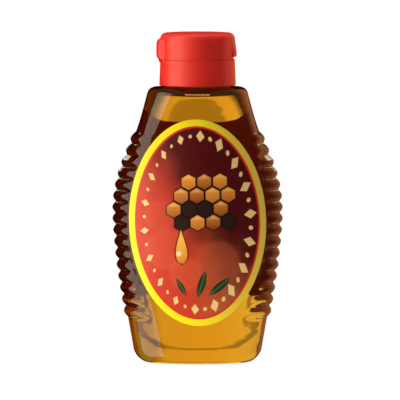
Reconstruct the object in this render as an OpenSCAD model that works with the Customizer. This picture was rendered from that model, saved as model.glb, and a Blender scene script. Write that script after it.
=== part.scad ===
// Honey squeeze bottle: an oval, ribbed bottle full of honey, with an oval label
// on its front and a flat-ended one on its back, under a screw cap with a flip lid.
// Millimetres, +Z up. The front looks along -Y and the flip lid hinges at -X.
// The origin is the middle of the base, on the plane that the bottle stands on.

/* [Body] */
// Height of the body, from the table to the flat of the shoulder
shoulder_z = 147.6; // [120:0.1:175]
// Widest part of the body, measured in the valleys between its ribs
body_w = 88.2; // [80:0.1:100]
// Depth of the body from front panel to back panel
body_d = 46.2; // [44:0.1:54]
// Thickness of the blown wall
wall = 1; // [0.6:0.1:1.6]
// Thickness of the floor
floor_t = 1.3; // [0.8:0.1:2.5]
// Radius of the heel, where the side turns into the base
heel_r = 7; // [4:0.1:9]
// Radius of the edge between the side and the shoulder
shoulder_r = 2.6; // [1.5:0.1:4]
// Radius of that edge over the middle of the panels, where it is rounder
front_edge_r = 4.8; // [3:0.2:7]
// How far the middle of the base is pushed up
pushup_h = 2.4; // [1:0.1:5]

/* [Ribs] */
// Number of grip ribs up each side
rib_count = 16; // [10:1:18]
// How far a rib stands out of the valleys beside it
rib_depth = 1.7; // [0.6:0.05:2]
// Height of the lowest valley
rib_z = 24.2; // [18:0.1:30]
// Smooth band between the highest valley and the shoulder
rib_top_gap = 23.66; // [18:0.01:30]

/* [Label panels] */
// Radius of each panel, seen from above
panel_r = 74; // [65:0.5:90]
// How far the body swells past the panels
panel_sink = 0.9; // [0.5:0.05:1.5]
// Least depth of the pockets that the panels lie in
panel_lip = 0.25; // [0.1:0.05:0.6]
// Ribbed band at each side of the front label, seen from the front
label_side = 7.5; // [6:0.1:12]
// Height of the front label's lowest point
label_low = 21.2; // [16:0.1:28]
// Drop from the shoulder to the front label's highest point
label_drop = 16; // [12:0.1:24]
// How far the front label leans, in degrees
label_lean = 1.6; // [0:0.1:4]
// Thickness of the label film
label_t = 0.15; // [0.08:0.01:0.4]
// Height of the back label's lower edge
back_label_low = 36; // [28:0.5:50]
// Drop from the shoulder to the back label's upper edge
back_label_drop = 19.2; // [16.8:0.2:30]
// Band of bare panel between the labels' oval and the ribs' ends
label_margin = 1; // [0.7:0.1:2]
// How far the panels reach past the front label's upper and lower ends
panel_past = 8; // [5:0.5:11]
// How far the oval of the ribs' ends reaches past the front label's ends
rib_oval_past = 16; // [11:0.5:20]
// How much lower than the label that oval is centred
rib_oval_drop = 4.4; // [0:0.2:8]

/* [Neck] */
// Height of the neck above the shoulder
neck_h = 12.5; // [10:0.1:16]
// Outer radius of the neck, without its thread
neck_r = 17.6; // [16.5:0.05:18]
// Thickness of the neck's wall
neck_wall = 2; // [1.4:0.1:2.6]
// Height of the honey above the shoulder
fill_h = 3.2; // [1:0.1:8]
// Height of the fillet between shoulder and neck
neck_fillet = 0.8; // [0.4:0.1:0.9]

/* [Cap] */
// Height of the skirt, from its lower edge to the parting line
skirt_h = 14; // [12:0.1:15]
// Room for the threads between the neck and the cap's bore
thread_room = 1.45; // [1.2:0.05:1.8]
// Thickness of the skirt at its lower edge
skirt_wall = 1.45; // [1.2:0.05:2]
// How much smaller the cap's radius is at the parting line than at its lower edge
cap_draft = 0.5; // [0:0.05:0.6]
// Thickness of the deck over the neck
deck_t = 1.5; // [1:0.1:2.5]
// Thickness of the liner
liner_t = 1; // [0.5:0.1:2]
// How far the liner reaches in past the neck's bore
liner_in = 3.6; // [1:0.1:6]
// Width of the chamfers along the parting line
edge = 0.35; // [0.2:0.05:0.6]

/* [Spout] */
// Radius of the spout's hole
orifice_r = 3.175; // [2.5:0.05:3.5]
// Height of the spout above the parting line
spout_h = 7.6; // [5:0.1:8]
// Thickness of the spout's round lip
spout_wall = 1.725; // [1.2:0.025:2.2]
// How far the spout flares from its lip to the deck
spout_flare = 3.5; // [2.5:0.1:4.5]
// Height of the ring that the lid closes over
snap_h = 1.8; // [1:0.1:2.5]
// Thickness of that ring
snap_t = 0.8; // [0.5:0.1:1.2]

/* [Lid] */
// Height of the lid above the parting line
lid_h = 14.3; // [13:0.1:17]
// Thickness of the lid's wall and top
lid_t = 1.3; // [1:0.1:1.6]
// Radius of the edge round the lid's top
lid_edge_r = 3; // [2:0.1:4]
// Height of that edge
lid_edge_h = 3.2; // [2:0.1:4]
// How far the hinge boss stands out
boss_out = 2.1; // [1.5:0.1:2.5]
// Half the length of the hinge boss and of the thumb tab
lug_half = 9; // [6:0.5:11]
// How far the thumb tab stands out
tab_out = 1; // [0.5:0.1:1.5]
// Height of the finger recess below the thumb tab
recess_h = 1.5; // [0.8:0.1:2]
// Depth of the finger recess
recess_d = 0.6; // [0.3:0.1:0.8]
// How far the plug reaches into the spout
plug_in = 1.6; // [1:0.1:2]
// Clearance between the plug and the spout's hole
plug_gap = 0.125; // [0.1:0.025:0.3]
// How much slimmer the plug is at its tip
plug_taper = 0.65; // [0.3:0.05:1]
// Half the length of the hinge strap
strap_half = 6.5; // [4:0.5:8]
// Height of the hinge strap
strap_h = 1.4; // [1:0.1:3]
// How far the hinge line lies outside the rim
hinge_out = 0.8; // [0.7:0.05:1]

/* [Detail] */
// Segments round the body
body_segments = 40; // [32:4:56]

/* [Hidden] */
$fn = 96;
// What a cut runs past the face that it opens
overrun = 1;
// Clearance between the cap's bore and the liner, and between the lid and the ring
fit_gap = 0.15;
ring_gap = 0.3;

neck_top = shoulder_z + neck_h;
neck_bore_r = neck_r - neck_wall;
deck_under = neck_top + liner_t;
parting_z = deck_under + deck_t;
skirt_z = parting_z - skirt_h;
lid_top = parting_z + lid_h;
honey_z = shoulder_z + fill_h;
cap_bore_r = neck_r + thread_room;
skirt_r = cap_bore_r + skirt_wall;
parting_r = skirt_r - cap_draft;
liner_hole_r = neck_bore_r - liner_in;
hinge_x = -(parting_r + hinge_out);
lid_inner_r = parting_r - lid_t;
lid_wall_h = lid_h - lid_edge_h;
spout_lip_r = orifice_r + spout_wall;
spout_foot_r = spout_lip_r + spout_flare;
plug_r = orifice_r - plug_gap;
plug_tip_r = plug_r - plug_taper;

rib_pitch = (shoulder_z - rib_top_gap - rib_z) / rib_count;
label_w = body_w - 2 * label_side;
label_h = shoulder_z - label_drop - label_low;
label_z = label_low + label_h / 2;
back_label_high = shoulder_z - back_label_drop;

// The side seen from the front, as shares of the body's height and of its half width
side_shares = [[0, 0.752], [0.292, 0.919], [0.418, 0.972], [0.543, 1], [0.627, 0.982],
    [0.711, 0.914], [0.794, 0.806], [0.881, 0.703], [1, 0.593]];
// The pushed-up base, as shares of the resting oval and of its height
pushup_shares = [[0.50, 1], [0.68, 0.85], [0.86, 0]];
// How square the body's section is level with the labels' centre, and past their ends
mid_square_share = 2.2;
end_square_share = 2.8;
// Half of the oval that each panel fills, and of the taller one that the ribs' ends follow
oval_w = label_w / 2 + label_margin;
oval_h = label_h / 2 + panel_past;
rib_oval_h = label_h / 2 + rib_oval_past;
rib_oval_z = label_z - rib_oval_drop;
// Where the ribs begin and are full, as shares of that oval
rib_end_shares = [1, 0.07];
// How round a rib's lobe is, and how quickly the shoulder's edge gets rounder over the panels
lobe_share = 0.6;
edge_share = 10;

/* Curves */

// Slope of a curve through points, at point i
function slope(p, i) =
    let (a = max(i - 1, 0), b = min(i + 1, len(p) - 1))
    (p[b][1] - p[a][1]) / (p[b][0] - p[a][0]);

// Number of the span of p that holds s
function span_of(p, s, i = 0) = (i >= len(p) - 2 || s < p[i + 1][0]) ? i : span_of(p, s, i + 1);

// Smooth curve through the points p, at s
function curve(p, s) =
    let (i = span_of(p, s), h = p[i + 1][0] - p[i][0], t = (s - p[i][0]) / h,
        m = slope(p, i) * h, n = slope(p, i + 1) * h)
    (2 * t * t * t - 3 * t * t + 1) * p[i][1] + (t * t * t - 2 * t * t + t) * m
    + (3 * t * t - 2 * t * t * t) * p[i + 1][1] + (t * t * t - t * t) * n;

function ease(t) = let (u = min(max(t, 0), 1)) u * u * (3 - 2 * u);

// Half width and half depth of the body at a height
function half_w(z) = body_w / 2 * curve(side_shares, z / shoulder_z);
function half_d(z) = body_d / 2 + panel_lip + panel_sink * (1 - pow((z - label_z) / oval_h, 2));
function square_at(z) =
    mid_square_share + (end_square_share - mid_square_share) * min(pow((z - label_z) / oval_h, 2), 1);

// How far a rib stands out at a height: round lobes that meet in sharp valleys
function rib_at(z) =
    let (u = (z - rib_z) / rib_pitch, v = 2 * (u - floor(u)) - 1)
    (u < 0 || u > rib_count) ? 0 : rib_depth * pow(max(1 - v * v, 0), lobe_share);

// The ribs fade out beside the labels
function rib_fade(x, z) =
    ease((norm([x / oval_w, (z - rib_oval_z) / rib_oval_h]) - rib_end_shares[0]) / rib_end_shares[1]);

// One point of the body's section, level is the height that it is drawn at
function section_point(z, inset, k, level, t) =
    let (p = 2 / square_at(z), a = (half_w(z) - inset) * k, b = (half_d(z) - inset) * k,
        x = a * sign(cos(t)) * pow(abs(cos(t)), p), y = b * sign(sin(t)) * pow(abs(sin(t)), p),
        n = [b * cos(t), a * sin(t)], out = rib_at(z) * rib_fade(x, z))
    [x + out * n[0] / norm(n), y + out * n[1] / norm(n), level];

// A section of the base, and one of the side between the heights low and high
function section(z, inset, k, level) =
    [for (j = [0:body_segments - 1]) section_point(z, inset, k, level, 360 * j / body_segments)];
function side_section(z, inset, low, high) =
    [for (j = [0:body_segments - 1]) let (t = 360 * j / body_segments)
        section_point(z, inset + edge_inset(z, low, high, t), 1, z, t)];

// How far the round edges of heel and shoulder draw the side in
function round_in(r, into) = r - sqrt(max(pow(r, 2) - pow(max(into, 0), 2), 0));
function edge_inset(z, low, high, t) =
    let (r = shoulder_r + (front_edge_r - shoulder_r) * pow(abs(sin(t)), edge_share))
    z < low + heel_r ? round_in(heel_r, low + heel_r - z) : round_in(r, z - high + r);

// Heights of the sections between two ends, with the given steps in each rib
function heights(low, high, rib_steps, arc_steps) =
    let (rib_top = rib_z + rib_count * rib_pitch, edge_z = high - front_edge_r, foot_z = low + heel_r)
    concat(
        [for (i = [1:arc_steps]) low + heel_r * (1 - cos(90 * i / arc_steps))],
        [(foot_z + rib_z) / 2],
        [for (i = [0:rib_count * rib_steps]) rib_z + rib_pitch * i / rib_steps],
        [for (i = [1:3]) rib_top + (edge_z - rib_top) * i / 4],
        [for (i = [0:arc_steps]) edge_z + front_edge_r * sin(90 * i / arc_steps)]);

// Closed skin over a list of rings that all have n points
module skin(rings) {
    n = len(rings[0]);
    last = len(rings) - 1;
    sides = [for (i = [0:last - 1], j = [0:n - 1], half = [0:1])
        let (k = (j + 1) % n, a = i * n, b = a + n)
        half == 0 ? [a + j, b + j, b + k] : [a + j, b + k, a + k]];
    polyhedron(
        points = [for (r = rings) each r],
        faces = concat([[for (j = [0:n - 1]) j]], sides, [[for (j = [n - 1:-1:0]) last * n + j]]));
}

// The body as a solid, set in from the outside by inset, between two heights
module body_loft(inset, low, high, rib_steps, arc_steps) {
    base = [for (s = pushup_shares) section(0, heel_r + inset, s[0], low + pushup_h * s[1])];
    rest = [section(0, heel_r + inset, 1, low)];
    side = [for (z = heights(low, high, rib_steps, arc_steps))
        side_section(z, inset, low, high)];
    skin(concat(base, rest, side));
}

// The pockets over both panels, ovals cut down to the panels' curves, grown into the body by inset
module panel_pockets(inset) {
    for (side = [-1, 1])
        difference() {
            oval_prism(side, oval_w + inset, oval_h + inset);
            translate([0, side * (body_d / 2 - panel_r), -overrun])
                cylinder(r = panel_r - inset, h = lid_top + overrun);
        }
}

// What the honey can fill, up to a height in the neck
module cavity(top) {
    difference() {
        body_loft(wall, floor_t, shoulder_z - wall, 2, 3);
        panel_pockets(wall);
    }
    translate([0, 0, shoulder_z - wall - overrun])
        cylinder(r = neck_bore_r, h = top - shoulder_z + wall + overrun);
}

/* The bottle and what it carries */

module bottle() {
    color([0.93, 0.80, 0.55, 0.6])
    difference() {
        union() {
            difference() {
                body_loft(0, 0, shoulder_z, 4, 4);
                panel_pockets(0);
            }
            // Neck with its fillet and its rounded lip
            rotate_extrude() polygon([
                [0, shoulder_z - wall], [neck_r + neck_fillet, shoulder_z - wall],
                for (a = [0:30:90])
                    [neck_r + neck_fillet * (1 - sin(a)), shoulder_z + neck_fillet * (1 - cos(a))],
                for (a = [0:30:90])
                    [neck_r - edge * (1 - cos(a)), neck_top - edge * (1 - sin(a))],
                [0, neck_top]]);
        }
        cavity(neck_top + overrun);
    }
}

module honey() {
    color([0.62, 0.25, 0.02])
    cavity(honey_z);
}

// Film on a panel: side is -1 at the front and 1 at the back
module panel_film(side) {
    translate([0, side * (body_d / 2 - panel_r), 0])
    difference() {
        cylinder(r = panel_r + label_t, h = lid_top);
        translate([0, 0, -overrun]) cylinder(r = panel_r, h = lid_top + 2 * overrun);
    }
}

// Upright oval prism that runs from the middle of the body out past one side
module oval_prism(side, half_width, half_height) {
    translate([0, 0, label_z])
    rotate([side < 0 ? 90 : -90, 0, 0])
    linear_extrude(height = body_d)
    scale([half_width, half_height]) circle(r = 1);
}

module front_label() {
    color([0.85, 0.78, 0.12])
    intersection() {
        panel_film(-1);
        translate([0, 0, label_z]) rotate([0, -label_lean, 0]) translate([0, 0, -label_z])
            oval_prism(-1, label_w / 2, label_h / 2);
    }
}

module back_label() {
    color([0.85, 0.78, 0.12])
    intersection() {
        panel_film(1);
        oval_prism(1, label_w / 2, oval_h);
        translate([-body_w / 2, 0, back_label_low])
            cube([body_w, body_d, back_label_high - back_label_low]);
    }
}

/* The cap */

module liner() {
    color([0.93, 0.93, 0.90])
    translate([0, 0, neck_top])
    difference() {
        cylinder(r = cap_bore_r - fit_gap, h = liner_t);
        translate([0, 0, -overrun]) cylinder(r = liner_hole_r, h = liner_t + 2 * overrun);
    }
}

// The skirt's outside, tapered, with a soft lower edge and a chamfer at the parting line
module skirt_outside() {
    rotate_extrude() polygon([
        [0, skirt_z],
        for (a = [0:30:90]) [skirt_r - edge * (2 - 2 * sin(a)), skirt_z + edge * (2 - 2 * cos(a))],
        [parting_r, parting_z - edge], [parting_r - edge, parting_z], [0, parting_z]]);
}

module cap_base() {
    ring_r = lid_inner_r - ring_gap;
    funnel_r = spout_foot_r - deck_t;
    spout_top = parting_z + spout_h;
    lip = (spout_lip_r - orifice_r) / 2;
    color([0.83, 0.10, 0.07])
    difference() {
        union() {
            skirt_outside();
            // Ring that the lid closes over
            translate([0, 0, parting_z - deck_t / 2]) difference() {
                cylinder(r = ring_r, h = snap_h + deck_t / 2);
                cylinder(r = ring_r - snap_t, h = snap_h + deck_t);
            }
            // Spout with a round lip
            rotate_extrude() polygon([
                [0, parting_z - deck_t / 2], [spout_foot_r, parting_z - deck_t / 2],
                [spout_foot_r, parting_z],
                [(spout_foot_r + spout_lip_r) / 2, parting_z + spout_h / 3],
                for (a = [0:30:180])
                    [orifice_r + lip + lip * cos(a), spout_top - lip + lip * sin(a)],
                [0, spout_top - lip]]);
        }
        // Bore for the neck and the liner
        translate([0, 0, skirt_z - overrun])
            cylinder(r = cap_bore_r, h = deck_under - skirt_z + overrun);
        // Funnel and hole through the spout
        rotate_extrude() polygon([
            [0, deck_under - overrun], [funnel_r, deck_under - overrun], [funnel_r, deck_under],
            [orifice_r, parting_z + spout_h / 2], [orifice_r, spout_top + overrun],
            [0, spout_top + overrun]]);
    }
}

// Thin strap of the cap's own plastic that bends when the lid opens
module hinge_strap() {
    reach = parting_r / 2;
    color([0.83, 0.10, 0.07])
    difference() {
        translate([0, strap_half, 0]) rotate([90, 0, 0]) linear_extrude(height = 2 * strap_half)
            polygon([[-reach, parting_z - strap_h], [-parting_r, parting_z - strap_h],
                [hinge_x, parting_z - strap_h / 2], [hinge_x, parting_z], [-reach, parting_z]]);
        skirt_outside();
        translate([0, 0, skirt_z]) cylinder(r = parting_r - edge, h = skirt_h + overrun);
    }
}

// The lid's outside, without its lugs
module lid_outside() {
    rotate_extrude() polygon([
        [0, parting_z], [parting_r - edge, parting_z], [parting_r, parting_z + edge],
        for (a = [0:15:90])
            [parting_r - lid_edge_r * (1 - cos(a)),
                parting_z + lid_wall_h + (lid_h - lid_wall_h) * sin(a)],
        [0, lid_top]]);
}

// Round-ended boss along the hinge, and the flared thumb tab across from it
module lid_lugs() {
    core = lid_inner_r + lid_t / 2;
    half = lid_wall_h / 2;
    boss_r = parting_r + boss_out;
    tab_r = parting_r + tab_out;
    intersection() {
        rotate_extrude() polygon([
            [core, parting_z],
            for (a = [0:15:180])
                [parting_r + boss_out * pow(1 - pow(cos(a), 4), 0.4), parting_z + half * (1 - cos(a))],
            [core, parting_z + lid_wall_h]]);
        translate([-boss_r, -lug_half, parting_z]) cube([boss_r, 2 * lug_half, lid_h]);
    }
    intersection() {
        rotate_extrude() polygon([
            [core, parting_z + recess_h], [tab_r - edge, parting_z + recess_h],
            [tab_r, parting_z + recess_h + 2 * edge], [tab_r, parting_z + lid_wall_h / 3],
            [parting_r, parting_z + lid_wall_h], [core, parting_z + lid_wall_h]]);
        translate([0, -lug_half, parting_z]) cube([tab_r, 2 * lug_half, lid_h]);
    }
}

module flip_lid() {
    inner_top = lid_top - lid_t;
    inner_edge = lid_edge_r - lid_t;
    tip_z = parting_z + spout_h - plug_in;
    color([0.86, 0.12, 0.08])
    union() {
        difference() {
            union() {
                lid_outside();
                lid_lugs();
            }
            // Inside of the lid
            rotate_extrude() polygon([
                [0, parting_z - overrun], [lid_inner_r, parting_z - overrun],
                for (a = [0:15:90])
                    [lid_inner_r - inner_edge * (1 - cos(a)), inner_top - inner_edge * (1 - sin(a))],
                [0, inner_top]]);
            // Finger recess below the thumb tab
            intersection() {
                translate([0, 0, parting_z - overrun]) difference() {
                    cylinder(r = skirt_r + overrun, h = recess_h + overrun);
                    cylinder(r = parting_r - recess_d, h = recess_h + overrun);
                }
                translate([0, -lug_half, parting_z - overrun])
                    cube([skirt_r + overrun, 2 * lug_half, recess_h + overrun]);
            }
        }
        // Plug that closes the spout
        rotate_extrude() polygon([
            [0, tip_z], [plug_tip_r - edge, tip_z], [plug_tip_r, tip_z + edge],
            [plug_r, parting_z + spout_h], [plug_r, parting_z + spout_h + edge],
            [plug_r + lid_t, inner_top + lid_t / 2], [0, inner_top + lid_t / 2]]);
    }
}

bottle();
honey();
front_label();
back_label();
liner();
cap_base();
hinge_strap();
flip_lid();
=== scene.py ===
import math
from contextlib import contextmanager
from functools import partialmethod

import bpy
import numpy as np
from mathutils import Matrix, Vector
from bpy.props import FloatProperty, FloatVectorProperty, IntProperty, PointerProperty
from bpy.types import Operator, Panel, PropertyGroup


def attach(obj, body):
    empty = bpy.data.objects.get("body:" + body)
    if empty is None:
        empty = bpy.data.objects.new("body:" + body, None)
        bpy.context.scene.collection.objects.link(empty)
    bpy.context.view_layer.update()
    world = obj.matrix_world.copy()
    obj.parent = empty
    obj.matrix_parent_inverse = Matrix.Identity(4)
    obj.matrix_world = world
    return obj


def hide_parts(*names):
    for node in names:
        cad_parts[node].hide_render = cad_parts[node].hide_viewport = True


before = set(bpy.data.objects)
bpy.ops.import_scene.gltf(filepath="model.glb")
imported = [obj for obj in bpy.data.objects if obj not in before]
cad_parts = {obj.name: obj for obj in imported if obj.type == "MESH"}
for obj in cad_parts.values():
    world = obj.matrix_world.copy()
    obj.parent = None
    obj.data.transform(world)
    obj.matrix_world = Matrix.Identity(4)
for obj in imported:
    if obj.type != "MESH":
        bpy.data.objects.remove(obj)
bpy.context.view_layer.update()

bl_info = {
    "name": "Honey squeeze bottle",
    "version": (1, 0, 0),
    "blender": (4, 5, 0),
    "location": "View3D > Sidebar > Honey bottle",
    "description": "Builds a ribbed squeeze bottle of honey with its labels and flip-top cap",
    "category": "Add Mesh",
}

MM = 0.001

# Points round the bottle, a label, the liner, the cap base and the lid
BODY_POINTS, LABEL_POINTS, LINER_POINTS, CAP_POINTS, LID_POINTS = 304, 192, 128, 256, 320
# Steps of the bottle's skin in each rib, round edge and plain part
OUTSIDE_STEPS, INSIDE_STEPS = (8, 8, 8), (4, 5, 5)
# The side seen from the front, as shares of the body's height and of its half width
SIDE_SHARES = [(0, 0.752), (0.292, 0.919), (0.418, 0.972), (0.543, 1), (0.627, 0.982),
               (0.711, 0.914), (0.794, 0.806), (0.881, 0.703), (1, 0.593)]
# The pushed-up base, as shares of the resting oval and of its height
PUSHUP_SHARES = [(0.03, 1), (0.25, 1), (0.45, 1), (0.56, 0.985), (0.63, 0.93), (0.68, 0.82), (0.73, 0.60),
                 (0.78, 0.33), (0.82, 0.13), (0.86, 0.02), (0.90, 0), (1, 0)]
# Power of the body's section level with the labels' centre, and what it gains to their ends
SECTION_POWER, SECTION_MORE = 1.85, 0.42
# How sharp the ribs' valleys are, how round their crests, and where the ribs end beside the labels
RIB_VALLEY, RIB_CREST, RIB_END, RIB_END_SOFT = 0.985, 0.55, 0.92, 0.13
# Edge of the label pockets, and above and below their centre where it widens and by how much
POCKET_EDGE, POCKET_ABOVE, POCKET_BELOW = 0.035, (0.45, 0.42), (0.55, 0.28)
# Height over which the shoulder falls, fillet at the neck's foot, and height of its round lip
FALL_H, NECK_FILLET, LIP_H = 6 * MM, 0.8 * MM, 0.6 * MM
# Ridge of the thread: its height, how far it sinks in, its widths, and its height on the neck
THREAD_OUT, THREAD_SUNK, THREAD_FOOT, THREAD_CREST, THREAD_START = (
    1.1 * MM, 0.25 * MM, 2.2 * MM, 1.1 * MM, 151.05 * MM)
# Steps in a turn of thread, and in the part of it where a ridge runs down
THREAD_STEPS, THREAD_RUN = 96, 8
# Where the cap's ridge starts: how far below the neck's, and how much of a turn further on
CAP_THREAD_BELOW, CAP_THREAD_TURN = 1.75 * MM, 60 / 360
# Gap between honey and wall, and how far the labels sink into it
HONEY_GAP, FILM_SUNK = 0.02 * MM, 0.03 * MM
# The honey's hollow surface, as shares of its radius and millimetres below its edge
HONEY_DIPS = ((0.985, 0.18), (0.96, 0.30), (0.90, 0.36), (0.6, 0.38), (0.05, 0.38))
# Points up the lid's wall, in millimetres, close together at the finger recess
LID_LEVELS = [0.7, 1.0, 1.25, 1.42, 1.5, 1.58, 1.75, 2.0, 2.3]
# Length over which hinge boss and thumb tab fade out
LUG_END = 2.6 * MM

# Label print, in millimetres from the label's centre
COMB_CELL, EMPTY_CELLS, MARK_COUNT, MARK_DEPTH = 8.4, 0.30, 36, 4.2
# Blooms: centre, radius and strength
GROUND_BLOOMS = ((-17, -14, 11, 0.30), (-7, -27, 9, 0.34), (10, -22, 12, 0.22), (-20, 4, 8, 0.20))
# Middle of the honeycomb, then the drop's middle, low end and height, then each leaf's foot, length and
# degrees
FRONT_ART = ((3.5, 9.5), (-9.0, -21.5, 19.0), ((-1, -40, 15, 72), (5, -39, 15, 38), (-7, -39, 11, 118)))
BACK_ART = ((0.0, 6.0), (0.0, -26.0, 17.0), ((-5, -25, 12, 158), (5, -25, 12, 22)))

# Metres per pixel and pixels across, the camera's distance and height, and the point it looks at
PIXEL, PICTURE, EYE_AWAY, EYE_Z, MIDDLE_X, MIDDLE_Z = 0.537 * MM, 400, 3.0, 0.300, 1.3 * MM, 87.0 * MM
# Name, place, aim, width, height, watts, tint, and whether the lamp is mirrored and seen through plastic
LAMPS = (
    ("Key_left", (-1.13, -0.41, 0.20), (0, 0, 0.20), 1.25, 3.2, 34, (1.0, 0.88, 0.72), True, False),
    ("Front_fill", (-0.9, -1.8, 0.45), (0, 0, 0.09), 1.0, 1.2, 14, (1, 1, 1), False, False),
    ("Rim_right", (1.6, 0.35, 0.30), (0, 0, 0.09), 0.5, 1.0, 13, (1, 1, 1), False, False),
    ("Overhead", (0.0, 0.45, 1.5), (0, 0.45, 0.0), 1.6, 2.6, 26, (1, 1, 1), False, True),
)
# Light by degrees round the bottle: seen through it high up, low down and underneath, and mirrored in it
DUSK, EMBER, COPPER = (0.12, 0.03, 0.01), (0.24, 0.07, 0.02), (0.95, 0.36, 0.14)
HIGH_UP = ((-180, 0.30), (-110, 0.25), (-90, EMBER), (-50, EMBER), (-46, DUSK), (-42, 0.42), (-10, 0.60),
           (14, 0.60), (20, DUSK), (40, EMBER), (80, EMBER), (100, 0.45), (140, 0.75), (180, 0.30))
LOW_DOWN = ((-180, 0.30), (-120, 0.25), (-90, 0.80), (-50, 0.95), (-20, 1.12), (0, 1.12), (14, 1.00),
            (24, 0.48), (50, 0.45), (80, 0.35), (100, 0.50), (140, 0.80), (180, 0.30))
UNDERNEATH = ((-180, DUSK), (-60, EMBER), (-24, 0.05), (24, 0.05), (60, EMBER), (180, DUSK))
AROUND = ((-180, 0.02), (-110, 0.02), (-90, 0.0), (12, 0.0), (30, COPPER), (60, COPPER), (80, 0.06),
          (180, 0.02))


def length(name, description, default, soft=0.5):
    """A size in metres, given here in millimetres."""
    return FloatProperty(name=name, description=description, default=default * MM,
                         min=0, soft_max=default * MM * (1 + soft), unit="LENGTH", subtype="DISTANCE")


def colour(name, description, default):
    return FloatVectorProperty(name=name, description=description, default=default,
                               size=3, min=0, max=1, subtype="COLOR")


class SQUEEZE_BodySizes(PropertyGroup):
    shoulder_z: length("Shoulder height", "From the table to the flat of the shoulder", 147.6)
    body_w: length("Width", "Across the valleys between the ribs", 88.2)
    body_d: length("Depth", "From front panel to back panel", 46.2)
    wall: length("Wall", "Thickness of the blown wall", 1.0)
    floor_t: length("Floor", "Thickness of the floor", 1.3)
    heel_r: length("Heel radius", "Where the side turns into the base", 7)
    shoulder_r: length("Shoulder radius", "Edge between the side and the shoulder", 2.6)
    front_edge_r: length("Front edge radius", "That edge over the middle of the panels", 4.8)
    pushup_h: length("Push-up", "How far the middle of the base is pushed up", 2.4)
    rib_count: IntProperty(name="Ribs", description="Grip ribs up each side", default=16, min=1, max=24)
    rib_z: length("Lowest valley", "Height of the valley below the lowest rib", 24.2)
    rib_pitch: length("Rib height", "Height of one rib", 6.234)
    rib_depth: length("Rib depth", "How far a rib stands out of its valleys", 1.7)
    panel_r: length("Panel radius", "Radius of the label panels seen from above", 74)
    panel_lip: length("Panel lip", "Least depth of the pockets that the panels lie in", 0.25)
    panel_sink: length("Panel swell", "How far the body swells past that", 0.9)
    shoulder_fall: length("Shoulder fall", "How far the shoulder falls towards front and back", 1.3)
    neck_h: length("Neck height", "Neck above the shoulder", 12.5)
    neck_r: length("Neck radius", "Outside of the neck without its thread", 17.6)
    neck_bore_r: length("Bore radius", "Inside of the neck", 15.6)
    fill_h: length("Fill height", "Honey above the shoulder", 3.2)
    lead: length("Thread lead", "Rise of the thread in one turn", 4.233)


class SQUEEZE_LabelSizes(PropertyGroup):
    width: length("Width", "Front label seen from the front", 73.2)
    height: length("Height", "Front label from lowest to highest point", 110.4)
    centre_z: length("Centre", "Height of the labels' centre", 76.4)
    back_low: length("Back low edge", "Height of the back label's lower edge", 36)
    back_high: length("Back high edge", "Height of the back label's upper edge", 128.4)
    thickness: length("Film", "Thickness of the printed film", 0.15)
    margin: length("Bare margin", "Bare panel between the label and the ribs", 0.6)
    past: length("Panel ends", "How far the panels reach past the front label's ends", 8)
    rib_past: length("Rib oval", "How far the oval of the ribs' ends reaches past the front label's ends", 16)
    rib_drop: length("Rib oval drop", "How much lower than the label that oval is centred", 4.4)
    border: length("Border", "Width of the yellow border", 3.5)
    ring: length("Ring", "Width of the red ring inside the border", 1.1)
    lean: FloatProperty(name="Lean", description="How far the front label leans",
                        default=math.radians(1.6), unit="ROTATION", subtype="ANGLE")


class SQUEEZE_CapSizes(PropertyGroup):
    skirt_h: length("Skirt height", "From the skirt's lower edge to the parting line", 14)
    skirt_r: length("Skirt radius", "Outside of the skirt at its lower edge", 20.5)
    parting_r: length("Parting radius", "Outside of the cap at the parting line", 20)
    bore_r: length("Bore radius", "Inside of the skirt", 19.05)
    deck_t: length("Deck", "Thickness of the deck over the neck", 1.5)
    liner_t: length("Liner", "Thickness of the foam liner", 1)
    liner_hole_r: length("Liner hole", "Radius of the hole in the liner", 12)
    edge: length("Edge", "Chamfers along the parting line", 0.35)
    orifice_r: length("Hole radius", "Hole through the spout", 3.175)
    spout_h: length("Spout height", "Spout above the parting line", 7.6)
    spout_lip_r: length("Lip radius", "Outside of the spout at its lip", 4.9)
    spout_foot_r: length("Foot radius", "Outside of the spout at the deck", 8.4)
    snap_h: length("Ring height", "Ring that the lid closes over", 1.8)
    snap_t: length("Ring thickness", "Thickness of that ring", 0.8)
    lid_h: length("Lid height", "Lid above the parting line", 14.3)
    lid_t: length("Lid wall", "Thickness of the lid", 1.3)
    lid_edge_r: length("Lid edge width", "Width of the round edge of the lid's top", 3)
    lid_edge_h: length("Lid edge height", "Height of the round edge of the lid's top", 3.2)
    boss_out: length("Hinge boss", "How far the hinge boss stands out", 2.1)
    tab_out: length("Thumb tab", "How far the thumb tab stands out", 1)
    lug_half: length("Half lug", "Half the length of the boss and of the tab", 9)
    recess_h: length("Recess height", "Finger recess below the tab", 1.5)
    recess_d: length("Recess depth", "Depth of the finger recess", 0.6)
    plug_in: length("Plug reach", "How far the plug reaches into the spout", 1.6)
    plug_r: length("Plug radius", "Plug where it leaves the spout", 3.05)
    plug_tip_r: length("Plug tip", "Radius of the plug at its tip", 2.4)


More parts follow.
